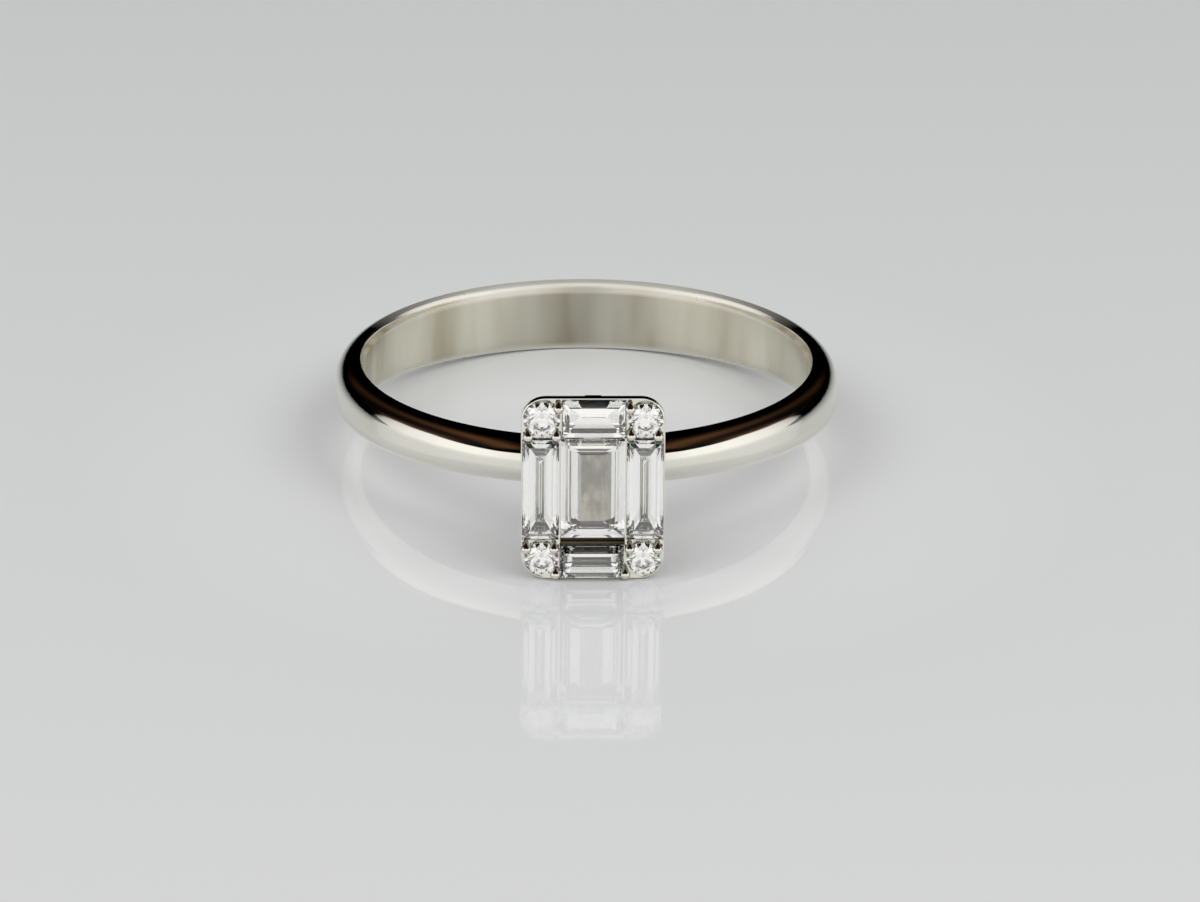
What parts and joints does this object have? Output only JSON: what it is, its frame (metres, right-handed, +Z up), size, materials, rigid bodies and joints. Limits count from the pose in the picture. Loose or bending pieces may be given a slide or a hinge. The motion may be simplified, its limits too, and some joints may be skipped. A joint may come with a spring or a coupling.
{
  "type": "illusion-set solitaire ring",
  "caption": "Narrow domed finger ring lying on its side, with an oblong head of step-cut, baguette and round stones set close to read as one emerald-cut stone.",
  "frame": {"origin": "on the surface that the ring lies on, under the middle of its bounding box", "axes": "+Z up, -Y the way the head faces, +X to the right of someone who looks at the head"},
  "size_m": [0.0192, 0.0222, 0.0071],
  "materials": {
    "white_gold": "high polish, rhodium-plated",
    "diamond": "cut and polished facets"
  },
  "bodies": {
    "root": {"ring_mount": "white_gold", "centre_stone": "diamond", "left_baguette": "diamond", "right_baguette": "diamond", "top_baguette": "diamond", "bottom_baguette": "diamond", "round_top_left": "diamond", "round_top_right": "diamond", "round_bottom_left": "diamond", "round_bottom_right": "diamond"}
  },
  "joints": []
}
